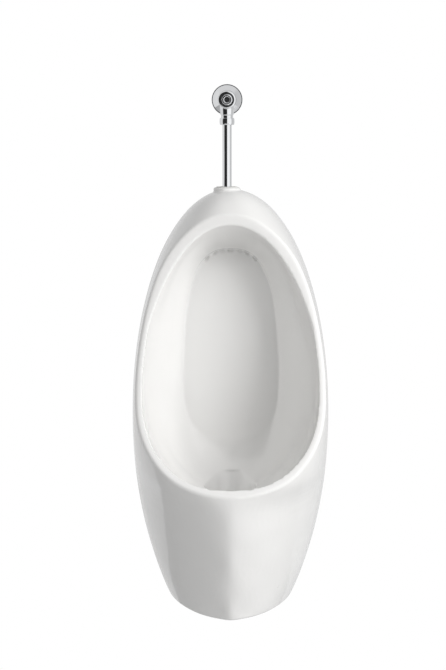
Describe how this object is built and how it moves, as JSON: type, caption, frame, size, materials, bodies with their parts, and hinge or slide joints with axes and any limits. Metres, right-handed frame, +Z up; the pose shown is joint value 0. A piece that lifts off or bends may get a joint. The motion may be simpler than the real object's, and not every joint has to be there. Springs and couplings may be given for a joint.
{
  "type": "wall hung urinal",
  "caption": "Tall torpedo shaped ceramic urinal hung on the wall, with an exposed push button flush valve and pipe above and a bottle trap hidden in the foot.",
  "frame": {"origin": "on the wall plane, midway between the two upper wall plugs, 570 mm above the bottom of the foot", "axes": "+Z up, -Y out of the wall towards the user, +X to the right as seen from the front"},
  "size_m": [0.3483, 0.3794, 0.907],
  "materials": {
    "glaze": "white gloss glaze",
    "chrome": "polished chrome plate",
    "steel": "satin stainless steel",
    "zinc_steel": "bright zinc plate",
    "brass": "turned brass",
    "rubber": "matt black rubber",
    "white_rubber": "matt white rubber",
    "white_plastic": "moulded white plastic",
    "grey_plastic": "grey nylon"
  },
  "bodies": {
    "urinal": {"ceramic_body": "glaze", "hook_left": "zinc_steel", "hook_right": "zinc_steel", "wall_screws": "zinc_steel", "screw_washers": "white_plastic", "wall_plugs": "grey_plastic", "valve_body": "chrome", "wall_flange": "chrome", "valve_bonnet": "chrome", "bonnet_seal": "rubber", "spindle_seal": "rubber", "closing_spring": "steel", "inlet_strainer": "steel", "coupling_nut": "chrome", "pipe_top_seal": "rubber", "flush_pipe": "chrome", "inlet_seal": "white_rubber", "waste_body": "chrome", "waste_grid": "steel", "grid_screw": "steel", "waste_upper_seal": "rubber", "waste_lower_seal": "rubber", "backnut": "brass", "trap_nut": "white_plastic", "trap_neck_seal": "rubber", "trap_head": "white_plastic", "trap_cup": "white_plastic", "cup_seal": "rubber", "outlet_pipe": "white_plastic", "outlet_nut": "white_plastic", "outlet_seal": "rubber", "wall_collar": "white_plastic"},
    "button": {"push_button": "chrome", "spindle": "brass", "piston": "brass", "piston_washer": "rubber"}
  },
  "joints": [
    {"name": "button_press", "type": "slide", "parent": "urinal", "child": "button", "axis": [0, 1, 0], "range_m": [0, 0.006], "stiffness_N_per_m": 500, "springref_m": -0.008, "deforming": ["closing_spring"]}
  ]
}
